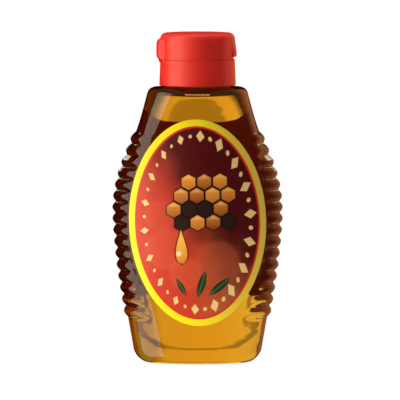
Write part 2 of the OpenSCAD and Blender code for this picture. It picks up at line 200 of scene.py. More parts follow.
class SQUEEZE_Colours(PropertyGroup):
    plastic: colour("Bottle", "Tint of the clear plastic", (0.985, 0.97, 0.94))
    honey: colour("Honey", "What a ray keeps of each colour as it crosses the honey", (0.927, 0.736, 0.01))
    honey_density: FloatProperty(name="Honey depth", default=110.0, min=0, soft_max=400,
                                 description="How strongly the honey colours light, per metre")
    cap: colour("Cap", "Moulded cap plastic", (0.72, 0.028, 0.018))
    yellow: colour("Label border", "Printed yellow", (1.0, 0.78, 0.0))
    # The border's yellow darkened at the right is painted shade, standing in for the key light that falls
    # from the left
    border_painted_shade: colour("Label border in shade", "Printed yellow at the right", (0.74, 0.50, 0.06))
    ring: colour("Label ring", "Printed red ring", (0.66, 0.03, 0.015))
    dark: colour("Panel dark", "Dark end of the printed panel", (0.085, 0.004, 0.005))
    warm: colour("Panel warm", "Red-orange end of the printed panel", (0.60, 0.040, 0.015))
    amber: colour("Panel amber", "Orange-brown end of the printed panel", (0.46, 0.11, 0.035))
    gold: colour("Ornament", "Pale gold of the ornaments", (0.90, 0.60, 0.22))
    leaf: colour("Leaves", "Dark green of the leaves", (0.012, 0.045, 0.014))
    ink: colour("Outlines", "Near-black of the outlines", (0.012, 0.005, 0.004))


class SQUEEZE_Settings(PropertyGroup):
    body: PointerProperty(type=SQUEEZE_BodySizes)
    label: PointerProperty(type=SQUEEZE_LabelSizes)
    cap: PointerProperty(type=SQUEEZE_CapSizes)
    colours: PointerProperty(type=SQUEEZE_Colours)


def settings():
    return bpy.context.scene.squeeze_bottle


# Mesh helpers

def clear_selection():
    if bpy.context.mode != "OBJECT":
        bpy.ops.object.mode_set(mode="OBJECT")
    bpy.ops.object.select_all(action="DESELECT")


def pick(obj):
    clear_selection()
    obj.select_set(True)
    bpy.context.view_layer.objects.active = obj


@contextmanager
def editing(obj):
    """All of a mesh is selected in edit mode."""
    pick(obj)
    bpy.ops.object.mode_set(mode="EDIT")
    bpy.ops.mesh.select_all(action="SELECT")
    yield
    bpy.ops.object.mode_set(mode="OBJECT")


def just_made(name):
    """Names the primitive that was just added, and applies its place, turn and scale."""
    obj = bpy.context.active_object
    obj.name = obj.data.name = name
    apply_place(obj)
    return obj


def apply_place(obj):
    pick(obj)
    bpy.ops.object.transform_apply(location=True, rotation=True, scale=True)


def modify(obj, kind, **values):
    """Adds a modifier and applies it."""
    pick(obj)
    modifier = obj.modifiers.new(kind.title(), kind)
    for name, value in values.items():
        setattr(modifier, name, value)
    bpy.ops.object.modifier_apply(modifier=modifier.name)


def places(obj):
    co = np.empty(len(obj.data.vertices) * 3)
    obj.data.vertices.foreach_get("co", co)
    return co.reshape(-1, 3)


def move_to(obj, co):
    obj.data.vertices.foreach_set("co", np.ascontiguousarray(co, dtype=np.float32).ravel())
    obj.data.update()


def close_up(obj, fill=True):
    """Joins the seam, fills the open ends if asked to, and turns the faces outwards."""
    with editing(obj):
        bpy.ops.mesh.remove_doubles(threshold=1e-7)
        if fill:
            bpy.ops.mesh.fill_holes(sides=0)
        bpy.ops.mesh.select_all(action="SELECT")
        bpy.ops.mesh.normals_make_consistent(inside=False)


def smooth(obj, degrees=38):
    """Smooth shading, with an edge wherever faces meet at more than that angle."""
    pick(obj)
    bpy.ops.object.shade_smooth_by_angle(angle=math.radians(degrees))


def arc(cx, cz, rx, rz, start, end, steps):
    """Points on part of an ellipse, angles in degrees from +X towards +Z."""
    turn = np.radians(np.linspace(start, end, steps + 1))
    return [(cx + rx * math.cos(a), cz + rz * math.sin(a)) for a in turn]


def turned(name, profile, segments, ring=False):
    """Turns a profile of (radius, height) points round the Z axis, as a potter would: a circle is extruded
    and scaled from point to point. A ring's profile comes back to its start."""
    clear_selection()
    points = list(profile) + ([profile[0]] if ring else [])
    radius, height = points[0]
    bpy.ops.mesh.primitive_circle_add(vertices=segments, radius=radius, location=(0, 0, height),
                                      fill_type="NOTHING" if ring else "NGON")
    obj = just_made(name)
    with editing(obj):
        for (ra, za), (rb, zb) in zip(points, points[1:]):
            bpy.ops.mesh.extrude_region_move(TRANSFORM_OT_translate={"value": (0, 0, zb - za)})
            bpy.ops.transform.resize(value=(rb / ra, rb / ra, 1), center_override=(0, 0, zb))
    close_up(obj, fill=False)
    return obj


def lofted(name, rings):
    """A closed skin over rings of points: a grid is wrapped round them, its seam joined and its ends
    filled."""
    rings = np.array(rings)
    rows, count = rings.shape[:2]
    clear_selection()
    bpy.ops.mesh.primitive_grid_add(x_subdivisions=count, y_subdivisions=rows - 1, size=2)
    obj = just_made(name)
    flat = places(obj)
    if len(flat) != (count + 1) * rows:
        raise RuntimeError(f"{name}: the grid has {len(flat)} points for {rows} rings of {count}")
    column = np.rint((flat[:, 0] + 1) / 2 * count).astype(int) % count
    row = np.rint((flat[:, 1] + 1) / 2 * (rows - 1)).astype(int)
    move_to(obj, rings[row, column])
    close_up(obj)
    return obj


def joined(main, *others):
    pick(main)
    for other in others:
        other.select_set(True)
    bpy.ops.object.join()
    return main


def thread_ridge(name, radius, out, start_z, turns, start_turn):
    """A screw thread's ridge that runs down into its wall at both ends. A negative out points inwards."""
    clear_selection()
    bpy.ops.mesh.primitive_plane_add(size=1, rotation=(math.pi / 2, 0, 0))
    ridge = just_made(name)
    sunk = -math.copysign(THREAD_SUNK, out)
    shape = []
    for x, _, z in places(ridge):
        half = (THREAD_CREST if x > 0 else THREAD_FOOT) / 2
        shape.append((radius + (out if x > 0 else sunk), 0, start_z + math.copysign(half, z)))
    move_to(ridge, np.array(shape))
    with editing(ridge):
        bpy.ops.mesh.delete(type="ONLY_FACE")
    steps = round(THREAD_STEPS * turns)
    modify(ridge, "SCREW", axis="Z", angle=turns * math.tau, screw_offset=settings().body.lead * turns,
           steps=steps, render_steps=steps, use_smooth_shade=False)
    co = places(ridge)
    step = np.arange(len(co)) // 4
    share = step / step.max()
    grown = ease(np.minimum(share, 1 - share) * turns * THREAD_STEPS / THREAD_RUN)
    wide = np.hypot(co[:, 0], co[:, 1])
    crest = np.abs(wide - radius - out) < 0.02 * MM
    target = np.where(crest, radius + sunk + (out - sunk) * (0.05 + 0.95 * grown), wide)
    turn = np.arctan2(co[:, 1], co[:, 0]) + start_turn * math.tau
    co[:, 0], co[:, 1] = target * np.cos(turn), target * np.sin(turn)
    move_to(ridge, co)
    close_up(ridge)
    modify(ridge, "BEVEL", width=0.22 * MM, segments=2, limit_method="ANGLE", angle_limit=math.radians(35))
    return ridge


def dress(obj, body, materials, replaced, chosen=None):
    """Gives a piece its materials and its body, and hides the CAD nodes that it stands in for."""
    obj.data.materials.clear()
    for material in materials:
        obj.data.materials.append(material)
    if chosen is not None:
        for face in obj.data.polygons:
            face.material_index = chosen(face.center, face.normal)
    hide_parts(*replaced)
    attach(obj, body)


# Shape of the body

def curve_at(points, s):
    """Smooth curve through points, at s."""
    def slope(i):
        a, b = max(i - 1, 0), min(i + 1, len(points) - 1)
        return (points[b][1] - points[a][1]) / (points[b][0] - points[a][0])

    i = 0
    while i < len(points) - 2 and s >= points[i + 1][0]:
        i += 1
    h = points[i + 1][0] - points[i][0]
    t = (s - points[i][0]) / h
    m, n = slope(i) * h, slope(i + 1) * h
    return ((2 * t**3 - 3 * t**2 + 1) * points[i][1] + (t**3 - 2 * t**2 + t) * m
            + (3 * t**2 - 2 * t**3) * points[i + 1][1] + (t**3 - t**2) * n)


def ease(t):
    u = np.clip(t, 0, 1)
    return u * u * (3 - 2 * u)


class Body:
    """The bottle's outline. Every result is in metres."""

    def __init__(self):
        s, label = settings().body, settings().label
        self.s, self.label = s, label
        self.turns = np.arange(BODY_POINTS) / BODY_POINTS * math.tau
        self.oval_w = label.width / 2 + label.margin
        self.oval_h = label.height / 2 + label.past
        self.rib_top = s.rib_z + s.rib_count * s.rib_pitch
        self.neck_top = s.shoulder_z + s.neck_h
        self.honey_z = s.shoulder_z + s.fill_h

    def rib(self, z):
        """How far a rib stands out at a height, in waves with slim valleys."""
        u = (z - self.s.rib_z) / self.s.rib_pitch
        if not 0 < u < self.s.rib_count:
            return 0.0
        down = (math.asin(RIB_VALLEY * math.cos(math.tau * u)) / math.asin(RIB_VALLEY) + 1) / 2
        return self.s.rib_depth * (
            1 - (math.hypot(down, RIB_CREST) - RIB_CREST) / (math.hypot(1, RIB_CREST) - RIB_CREST))

    def ring(self, z, inset, share, level, sunk):
        """One section: z chooses its outline, level is the height that it's drawn at, and sunk is how far
        inside the panels it stops."""
        s, label = self.s, self.label
        above = z - label.centre_z
        high = above / self.oval_h
        power = 2 / (SECTION_POWER + SECTION_MORE * min(high**2, 1))
        a = (s.body_w / 2 * curve_at(SIDE_SHARES, z / s.shoulder_z) - inset) * share
        b = (s.body_d / 2 + s.panel_lip + s.panel_sink * (1 - high**2) - inset) * share
        c, n = np.cos(self.turns), np.sin(self.turns)
        x = a * np.sign(c) * np.abs(c) ** power
        y = b * np.sign(n) * np.abs(n) ** power
        past = np.where(y < 0, label.margin, label.past)
        tall = above / (label.height / 2 + past + sunk)
        across = x / (self.oval_w + sunk)
        reach = np.hypot(across, tall)
        start, wide = POCKET_ABOVE if above > 0 else POCKET_BELOW
        soft = POCKET_EDGE + wide * ease((np.abs(tall) / reach - start) / 0.4)
        beside = np.hypot(across, (above + label.rib_drop) / (label.height / 2 + label.rib_past + sunk))
        out = self.rib(z) * ease((beside - RIB_END) / RIB_END_SOFT)
        nx, ny = b * c, a * n
        size = np.hypot(nx, ny)
        x, y = x + out * nx / size, y + out * ny / size
        panel = np.sqrt((s.panel_r - sunk) ** 2 - x**2) - (s.panel_r - s.body_d / 2)
        on_panel = (1 - ease((reach - 1) / soft)) * ease(np.abs(n) / 0.42)
        y = np.sign(y) * (np.abs(y) + (panel - np.abs(y)) * on_panel)
        fall = s.shoulder_fall * ease(1 - (s.shoulder_z - z) / FALL_H) * np.abs(n) ** 6
        return np.stack([x, y, level - fall], 1)

    def edge_inset(self, z, low, high):
        """How far the round edges of heel and shoulder draw the side in. The shoulder's edge is rounder at
        front and back."""
        s = self.s
        if z < low + s.heel_r:
            return s.heel_r - math.sqrt(max(s.heel_r**2 - (low + s.heel_r - z) ** 2, 0))
        r = s.shoulder_r + (s.front_edge_r - s.shoulder_r) * np.abs(np.sin(self.turns)) ** 5
        return r - np.sqrt(np.maximum(r**2 - np.maximum(z - high + r, 0) ** 2, 0))

    def heights(self, low, high, rib_steps, arc_steps, plain_steps):
        """Heights of the sections of the side, from the heel to the shoulder."""
        s = self.s
        quarter = math.pi / 2
        heel = [low + s.heel_r * (1 - math.cos(quarter * i / arc_steps)) for i in range(1, arc_steps + 1)]
        foot = list(np.linspace(low + s.heel_r, s.rib_z, plain_steps + 2)[1:-1])
        ribs = [s.rib_z + s.rib_pitch * (r + (1 - math.cos(math.pi * i / rib_steps)) / 2)
                for r in range(s.rib_count) for i in range(rib_steps)] + [self.rib_top]
        plain = list(np.linspace(self.rib_top, high - s.front_edge_r, plain_steps + 2)[1:-1])
        arc_steps += 4
        edge = [high - s.front_edge_r * (1 - math.sin(quarter * i / arc_steps)) for i in range(arc_steps + 1)]
        return heel + foot + ribs + plain + edge

    def skin(self, inset, low, high, steps):
        """Rings from the middle of the base to the flat of the shoulder."""
        s = self.s
        base = [self.ring(0, s.heel_r + inset, share, low + s.pushup_h * lift, inset)
                for share, lift in PUSHUP_SHARES]
        side = [self.ring(z, inset + self.edge_inset(z, low, high), 1, z, inset)
                for z in self.heights(low, high, *steps)]
        return base + side

    def circle(self, r, z):
        return np.stack([r * np.cos(self.turns), r * np.sin(self.turns), np.full_like(self.turns, z)], 1)

    def neck_rings(self, flat, radius, top, inward):
        """From the shoulder's flat ring in to a round neck and up to a height."""
        z, way = flat[:, 2].max(), -1 if inward else 1
        foot = self.circle(radius + way * NECK_FILLET, z)
        rings = [flat * (1 - t) + foot * t for t in (0.2, 0.4, 0.6, 0.8, 1)]
        for a in np.radians([30, 60, 90]):
            r = radius + way * NECK_FILLET * (1 - math.sin(a))
            rings.append(self.circle(r, z + NECK_FILLET * (1 - math.cos(a))))
        return rings + [self.circle(radius, h) for h in np.linspace(z + NECK_FILLET, top, 5)[1:]]


# Node helpers

class Nodes:
    """A node tree and short ways to add nodes to it."""

    def __init__(self, tree):
        self.tree = tree

    def find(self, kind):
        return next(node for node in self.tree.nodes if node.type == kind)

    def put(self, socket, value):
        """Links a socket, or sets the constant on it."""
        if isinstance(value, bpy.types.NodeSocket):
            self.tree.links.new(value, socket)
        elif hasattr(value, "__len__") and len(value) == 3 and socket.type == "RGBA":
            socket.default_value = (*value, 1)
        else:
            socket.default_value = value

    def add(self, kind, settings=(), *values, **inputs):
        """Adds a node. The values go to its first sockets in turn, the inputs to the sockets they name."""
        node = self.tree.nodes.new(kind)
        for name, value in dict(settings).items():
            setattr(node, name, value)
        for socket, value in zip(node.inputs, values):
            self.put(socket, value)
        for name, value in inputs.items():
            self.put(node.inputs[name.replace("_", " ")], value)
        return node

    def math(self, operation, *values, clamp=False):
        return self.add("ShaderNodeMath", {"operation": operation, "use_clamp": clamp}, *values).outputs[0]

    plus = partialmethod(math, "ADD")
    minus = partialmethod(math, "SUBTRACT")
    times = partialmethod(math, "MULTIPLY")
    over = partialmethod(math, "DIVIDE")
    scaled = partialmethod(math, "MULTIPLY_ADD")
    size = partialmethod(math, "ABSOLUTE")
    less = partialmethod(math, "LESS_THAN")

    def square(self, value):
        return self.times(value, value)

    def norm(self, a, b):
        return self.math("SQRT", self.plus(self.square(a), self.square(b)))

    def vector(self, operation, *values):
        node = self.add("ShaderNodeVectorMath", {"operation": operation}, *values)
        return node.outputs["Value" if operation == "LENGTH" else "Vector"]

    def mix(self, share, a, b, kind="RGBA"):
        first, out = {"RGBA": (6, 2), "VECTOR": (4, 1), "FLOAT": (2, 0)}[kind]
        node = self.add("ShaderNodeMix", {"data_type": kind})
        for index, value in ((0, share), (first, a), (first + 1, b)):
            self.put(node.inputs[index], value)
        return node.outputs[out]

    def axes(self, vector):
        return self.add("ShaderNodeSeparateXYZ", Vector=vector).outputs[:3]

    def noise(self, at, size, detail=2.0):
        """Noise whose features are about as wide as size."""
        return self.add("ShaderNodeTexNoise", Vector=at, Scale=1 / size, Detail=detail).outputs["Fac"]

    def spread(self, value, low, high, to_low=0.0, to_high=1.0, smooth=False):
        """Maps low..high to to_low..to_high."""
        kind = {"interpolation_type": "SMOOTHSTEP" if smooth else "LINEAR"}
        return self.add("ShaderNodeMapRange", kind, value, low, high, to_low, to_high).outputs[0]

    def ramp(self, share, stops):
        """Greys or colours at angles round the bottle: 0 is straight behind it and 90 is at its right."""
        node = self.add("ShaderNodeValToRGB", (), share)
        points = node.color_ramp.elements
        while len(points) < len(stops):
            points.new(0.5)
        for point, (degrees, value) in zip(points, stops):
            point.position = (degrees + 180) / 360
            point.color = (*value, 1) if isinstance(value, tuple) else (value, value, value, 1)
        return node.outputs[0]

    def inside(self, distance, soft):
        """1 where distance is above 0, with an edge as wide as soft."""
        return self.scaled(distance, 1 / soft, 0.5, clamp=True)

    def over_print(self, printed, colour, distance, soft, share=1.0):
        """Prints a colour over the rest where distance is above 0."""
        return self.mix(self.times(self.inside(distance, soft), share), printed, colour)

    def disc(self, x, z, cx, cz, r):
        """How far inside a circle a point lies."""
        flat = self.add("ShaderNodeCombineXYZ", X=self.minus(x, cx), Z=self.minus(z, cz)).outputs[0]
        return self.minus(r, self.vector("LENGTH", flat))


class Shade(Nodes):
    """The nodes of a new material."""

    def __init__(self, name):
        self.material = bpy.data.materials.new(name)
        self.material.use_nodes = True
        super().__init__(self.material.node_tree)
        self.shader, self.out = self.find("BSDF_PRINCIPLED"), self.find("OUTPUT_MATERIAL")

    def set(self, **values):
        for name, value in values.items():
            self.put(self.shader.inputs[name.replace("_", " ")], value)

    def place(self):
        return self.add("ShaderNodeTexCoord").outputs["Object"]

    def bump(self, height, depth):
        return self.add("ShaderNodeBump", Height=height, Distance=depth).outputs[0]


# Materials

def clear_plastic(name):
    c = settings().colours
    m = Shade(name)
    at = m.place()
    _, y, _ = m.axes(at)
    waves = m.noise(at, 9 * MM, 1.0)
    peel = m.noise(at, 1.6 * MM, 2.0)
    seam = m.spread(m.size(y), 0.05 * MM, 0.35 * MM, 1.0, 0.0, smooth=True)
    height = m.plus(m.scaled(waves, 0.9, m.times(peel, 0.06)), m.times(seam, 0.35))
    m.set(Base_Color=c.plastic[:], Roughness=m.spread(m.noise(at, 4 * MM, 3.0), 0.3, 0.7, 0.015, 0.045),
          Transmission_Weight=1.0, IOR=1.5, Normal=m.bump(height, 0.14 * MM))
    return m.material


def wetted_wall(name):
    m = Shade(name)
    m.set(Base_Color=(1, 1, 1), Roughness=0.0, Transmission_Weight=1.0, IOR=1.0)
    return m.material


def honey_material(name, ior):
    c = settings().colours
    m = Shade(name)
    m.set(Base_Color=(1, 1, 1), Roughness=0.0, Transmission_Weight=1.0, IOR=ior)
    volume = m.add("ShaderNodeVolumeAbsorption", Color=c.honey[:], Density=c.honey_density)
    m.put(m.out.inputs["Volume"], volume.outputs[0])
    return m.material


def cap_plastic(name):
    c = settings().colours
    m = Shade(name)
    at = m.place()
    cloud = m.spread(m.noise(at, 11 * MM, 3.0), 0.3, 0.7)
    base = m.mix(cloud, tuple(v * 0.94 for v in c.cap), tuple(min(v * 1.05, 1) for v in c.cap))
    m.set(Base_Color=base, Roughness=m.spread(m.noise(at, 2.5 * MM, 3.0), 0.3, 0.7, 0.30, 0.40),
          Specular_IOR_Level=0.45, Normal=m.bump(m.noise(at, 0.35 * MM, 2.0), 0.012 * MM),
          Subsurface_Weight=0.12, Subsurface_Scale=1.2 * MM, Subsurface_Radius=(1.0, 0.25, 0.15))
    return m.material


def liner_foam(name):
    m = Shade(name)
    at = m.place()
    cells = m.add("ShaderNodeTexVoronoi", Vector=at, Scale=1 / (0.45 * MM)).outputs["Distance"]
    m.set(Base_Color=m.mix(m.noise(at, 3 * MM), (0.86, 0.86, 0.82), (0.93, 0.93, 0.90)),
          Roughness=m.spread(cells, 0, 0.6, 0.65, 0.9), Normal=m.bump(cells, 0.06 * MM))
    return m.material


def label_inside(name):
    m = Shade(name)
    at = m.place()
    m.set(Base_Color=m.mix(m.noise(at, 7 * MM, 3.0), (0.80, 0.23, 0.10), (0.88, 0.31, 0.15)), Roughness=0.7,
          Specular_IOR_Level=0.1, Normal=m.bump(m.noise(at, 1 * MM), 0.01 * MM))
    return m.material


def printed_ground(m, at, x, z):
    """Dark above and at the right, red-orange low at the left, orange-brown low at the right."""
    c = settings().colours
    fall = m.plus(m.scaled(x, -0.016, 0.44), m.times(z, -0.0105))
    petals = m.minus(m.noise(at, 13.0, 1.5), 0.5)
    glow = m.spread(m.scaled(petals, 0.42, fall), 0.12, 0.82, smooth=True)
    panel = m.mix(glow, c.dark[:], m.mix(m.spread(x, -12, 20, smooth=True), c.warm[:], c.amber[:]))
    for cx, cz, r, share in GROUND_BLOOMS:
        panel = m.over_print(panel, (0.80, 0.13, 0.05), m.disc(x, z, cx, cz, r), 2.4, share)
    return panel


def with_comb(m, panel, x, z, patch_x, patch_z):
    """Honeycomb: whole cells only, inside an oval patch."""
    step_x, step_z = COMB_CELL, COMB_CELL * math.sqrt(3)
    half = (step_x / 2, step_z / 2)
    flat = m.add("ShaderNodeCombineXYZ", X=x, Y=z).outputs[0]

    def lattice(dx, dy):
        moved = m.vector("ADD", flat, (dx + 20 * step_x, dy + 20 * step_z, 0))
        return m.vector("SUBTRACT", m.vector("MODULO", moved, (step_x, step_z, 1)), (*half, 0))

    first, second = lattice(0, 0), lattice(*half)
    nearer = m.less(m.vector("LENGTH", first), m.vector("LENGTH", second))
    local = m.mix(nearer, second, first, "VECTOR")
    lx, ly, _ = m.axes(m.vector("ABSOLUTE", local))
    rim = m.minus(COMB_CELL / 2, m.math("MAXIMUM", lx, m.scaled(ly, math.sqrt(3) / 2, m.times(lx, 0.5))))
    middle = m.vector("SUBTRACT", flat, local)
    cx, cy, _ = m.axes(middle)
    patch = m.plus(m.square(m.over(m.minus(cx, patch_x), 17.5)), m.square(m.over(m.minus(cy, patch_z), 15.5)))
    chance = m.add("ShaderNodeTexWhiteNoise", {"noise_dimensions": "2D"}, Vector=m.vector(
        "SNAP", m.vector("ADD", middle, (0.5, 0.5, 0)), (1.0, 1.0, 1.0))).outputs["Value"]
    up = m.axes(local)[1]
    tone = m.spread(m.plus(m.times(up, 0.10), chance), 0.0, 1.3)
    fill = m.mix(tone, (0.30, 0.055, 0.012), (0.93, 0.36, 0.045))
    fill = m.mix(m.less(chance, EMPTY_CELLS), fill, (0.028, 0.012, 0.008))
    comb = m.over_print(settings().colours.ink[:], fill, m.minus(rim, 0.55), 0.25)
    shine = m.times(m.spread(up, 1.2, 2.6, 0.0, 0.5), m.math("GREATER_THAN", chance, EMPTY_CELLS))
    comb = m.over_print(comb, (1.0, 0.62, 0.20), m.minus(rim, 1.1), 0.5, shine)
    return m.mix(m.less(patch, 1.0), panel, comb)


def with_drop(m, panel, x, z, drop_x, low, tall):
    """A drop of honey that runs from the comb."""
    up = m.over(m.minus(z, low), tall, clamp=True)
    half_w = m.times(m.times(m.math("POWER", up, 0.5), m.math("POWER", m.minus(1.0, up), 1.35)), 9.6)
    ends = m.math("MINIMUM", m.minus(z, low - 0.4), m.minus(low + tall, z))
    drop = m.math("MINIMUM", m.minus(half_w, m.size(m.minus(x, drop_x))), ends)
    panel = m.over_print(panel, settings().colours.ink[:], m.plus(drop, 0.45), 0.3)
    tone = m.mix(m.spread(up, 0.0, 0.7), (0.80, 0.24, 0.02), (1.0, 0.52, 0.08))
    panel = m.over_print(panel, tone, m.minus(drop, 0.15), 0.3)
    return m.over_print(panel, (1, 0.9, 0.6), m.disc(x, z, drop_x - 1.5, low + 5.2, 1.3), 0.7, 0.8)


def with_leaves(m, panel, x, z, leaves):
    """Each leaf is the lens where two circles meet."""
    for bx, bz, size, degrees in leaves:
        turn = math.radians(degrees)
        mx, mz = bx + size / 2 * math.cos(turn), bz + size / 2 * math.sin(turn)
        off, r = size * 0.85, math.hypot(size * 0.85, size / 2)
        sx, sz = -math.sin(turn) * off, math.cos(turn) * off
        one, other = m.disc(x, z, mx + sx, mz + sz, r), m.disc(x, z, mx - sx, mz - sz, r)
        lens = m.math("MINIMUM", one, other)
        panel = m.over_print(panel, settings().colours.leaf[:], lens, 0.3)
        vein = m.spread(m.size(m.minus(one, other)), 0.2, 1.1, 0.65, 0.0)
        panel = m.over_print(panel, (0.10, 0.20, 0.05), m.minus(lens, 0.3), 0.3, vein)
    return panel


def with_marks(m, panel, x, z, depth, wide, tall):
    """Ornaments set round the panel, beads and diamonds in turn, larger at the right."""
    turn = m.math("ARCTAN2", m.over(z, tall), m.over(x, wide))
    beat = m.scaled(turn, MARK_COUNT / math.tau, MARK_COUNT * 2.0)
    stride = m.times(m.norm(m.over(m.times(z, wide), tall), m.over(m.times(x, tall), wide)),
                     math.tau / MARK_COUNT)
    run = m.times(m.minus(m.math("FRACT", beat), 0.5), stride)
    side = m.minus(depth, MARK_DEPTH)
    odd = m.less(m.math("FRACT", m.times(m.math("FLOOR", beat), 0.5)), 0.25)
    large = m.spread(x, -14, 14, 1.0, 1.45, smooth=True)
    diamond = m.minus(m.times(large, 1.75), m.plus(m.size(run), m.times(m.size(side), 0.72)))
    bead = m.minus(m.times(large, 0.8), m.norm(run, side))
    return m.over_print(panel, settings().colours.gold[:], m.mix(odd, bead, diamond, "FLOAT"), 0.3)


def label_print(name, front):
    """The printed film: a border, a ring and a panel with generic ornaments, drawn by distance in
    millimetres."""
    c, label, body = settings().colours, settings().label, settings().body
    m = Shade(name)
    lean, centre = label.lean if front else 0.0, label.centre_z
    at = m.add("ShaderNodeMapping", Vector=m.place(), Rotation=(0, lean, 0), Scale=(1 / MM,) * 3,
               Location=(-math.sin(lean) * centre / MM, 0, -math.cos(lean) * centre / MM)).outputs[0]
    x, _, z = m.axes(at)
    if not front:
        x = m.times(x, -1)
    wide = label.width / 2 / MM
    tall = (label.height / 2 + (0 if front else label.past)) / MM
    reach = m.norm(m.over(x, wide), m.over(z, tall))
    facing = m.math("SQRT", m.minus(1.0, m.square(m.over(x, body.panel_r / MM))))
    steep = m.norm(m.times(m.over(x, wide**2), facing), m.over(z, tall**2))
    depth = m.over(m.times(m.minus(1.0, reach), reach), steep)
    if not front:
        low = m.minus(z, (label.back_low - centre) / MM)
        high = m.minus((label.back_high - centre) / MM, z)
        depth = m.math("MINIMUM", depth, m.math("MINIMUM", low, high))
    patch, drop, leaves = FRONT_ART if front else BACK_ART
    panel = with_comb(m, printed_ground(m, at, x, z), x, z, *patch)
    panel = with_leaves(m, with_drop(m, panel, x, z, *drop), x, z, leaves)
    border, ring = label.border / MM, label.ring / MM
    panel = with_marks(m, panel, x, z, m.minus(depth, border + ring), wide, tall)
    # The yellow border darkens towards the right: painted shade for the key light from the left
    yellow = m.mix(m.spread(x, -wide * 0.4, wide, smooth=True), c.yellow[:], c.border_painted_shade[:])
    colours = m.over_print(yellow, c.ring[:], m.minus(depth, border), 0.22)
    colours = m.over_print(colours, panel, m.minus(depth, border + ring), 0.3)
    m.set(Base_Color=colours, Roughness=m.spread(m.noise(at, 6.0, 2.0), 0.3, 0.7, 0.30, 0.40),
          Specular_IOR_Level=0.4, Normal=m.bump(m.noise(at, 0.5, 2.0), 0.006 * MM), Coat_Weight=0.15,
          Coat_Roughness=0.18)
    return m.material


def shared(name, make, *values):
    """The material of that name, made when it's first asked for."""
    return bpy.data.materials.get(name) or make(name, *values)


def cap_red():
    return shared("Moulded_red_plastic", cap_plastic)


# Stage

def studio_world():
    """White for the camera. A screen shines through the bottle, and the surfaces mirror a dim room."""
    world = bpy.data.worlds.new("Studio")
    world.use_nodes = True
    n = Nodes(world.node_tree)
    background, out = n.find("BACKGROUND"), n.find("OUTPUT_WORLD")
    x, y, up = n.axes(n.add("ShaderNodeTexCoord").outputs["Generated"])
    share = n.spread(n.math("ARCTAN2", x, y), -math.pi, math.pi)
    low_down = n.ramp(share, LOW_DOWN)
    behind = n.mix(n.spread(up, -0.062, -0.073), n.ramp(share, HIGH_UP), low_down)
    behind = n.mix(n.spread(up, -0.042, -0.030), behind, low_down)
    through = n.mix(n.spread(up, 0.35, 0.85), behind, (0.55, 0.55, 0.55))
    through = n.mix(n.spread(up, -0.13, -0.20), through, n.ramp(share, UNDERNEATH))
    room = n.mix(n.spread(up, 0.45, 0.95), n.ramp(share, AROUND), (0.10, 0.10, 0.10))
    light = n.add("ShaderNodeLightPath")
    n.put(background.inputs["Color"], n.mix(light.outputs["Is Transmission Ray"], room, through))
    plain = n.add("ShaderNodeBackground", (), (1, 1, 1))
    seen = n.add("ShaderNodeMixShader", (), light.outputs["Is Camera Ray"], background.outputs[0],
                 plain.outputs[0])
    n.put(out.inputs["Surface"], seen.outputs[0])
    return world


def soft_light(name, place, aim, width, height, watts, tint, glossy, transmission):
    data = bpy.data.lights.new(name, "AREA")
    data.shape, data.size, data.size_y = "RECTANGLE", width, height
    data.energy, data.color = watts, tint
    lamp = bpy.data.objects.new(name, data)
    bpy.context.scene.collection.objects.link(lamp)
    lamp.location = place
    lamp.rotation_mode = "QUATERNION"
    lamp.rotation_quaternion = Vector(np.array(aim) - np.array(place)).to_track_quat("-Z", "Y")
    lamp.visible_glossy, lamp.visible_transmission = glossy, transmission


class SQUEEZE_OT_stage(Operator):
    """Pale floor, soft studio light and the photograph's camera"""
    bl_idname = "squeeze.stage"
    bl_label = "Stage"

    def execute(self, context):
        clear_selection()
        bpy.ops.mesh.primitive_plane_add(size=1, location=(0, -0.01, -0.02 * MM))
        floor = context.active_object
        floor.name = floor.data.name = "Floor"
        floor.scale = (0.23, 0.12, 1)
        apply_place(floor)
        m = Shade("Pale_floor")
        m.set(Base_Color=m.mix(m.noise(m.place(), 0.04, 3.0), (0.93, 0.93, 0.93), (0.95, 0.95, 0.95)),
              Roughness=0.7, Specular_IOR_Level=0.2, Emission_Color=(1, 1, 1), Emission_Strength=0.8)
        floor.data.materials.append(m.material)
        floor.visible_glossy = floor.visible_transmission = False

        context.scene.world = studio_world()
        for lamp in LAMPS:
            soft_light(*lamp)

        data = bpy.data.cameras.new("Camera")
        camera = bpy.data.objects.new("Camera", data)
        context.scene.collection.objects.link(camera)
        context.scene.camera = camera
        above = EYE_Z - MIDDLE_Z
        data.sensor_width = 36
        data.lens = data.sensor_width * math.hypot(EYE_AWAY, above) / (PIXEL * PICTURE)
        camera.location = (MIDDLE_X, -EYE_AWAY, EYE_Z)
        camera.rotation_euler = (math.pi / 2 - math.atan2(above, EYE_AWAY), 0, 0)
        data.clip_start, data.clip_end = 0.05, 50
        context.scene.view_settings.view_transform = "Standard"
        return {"FINISHED"}


# Pieces

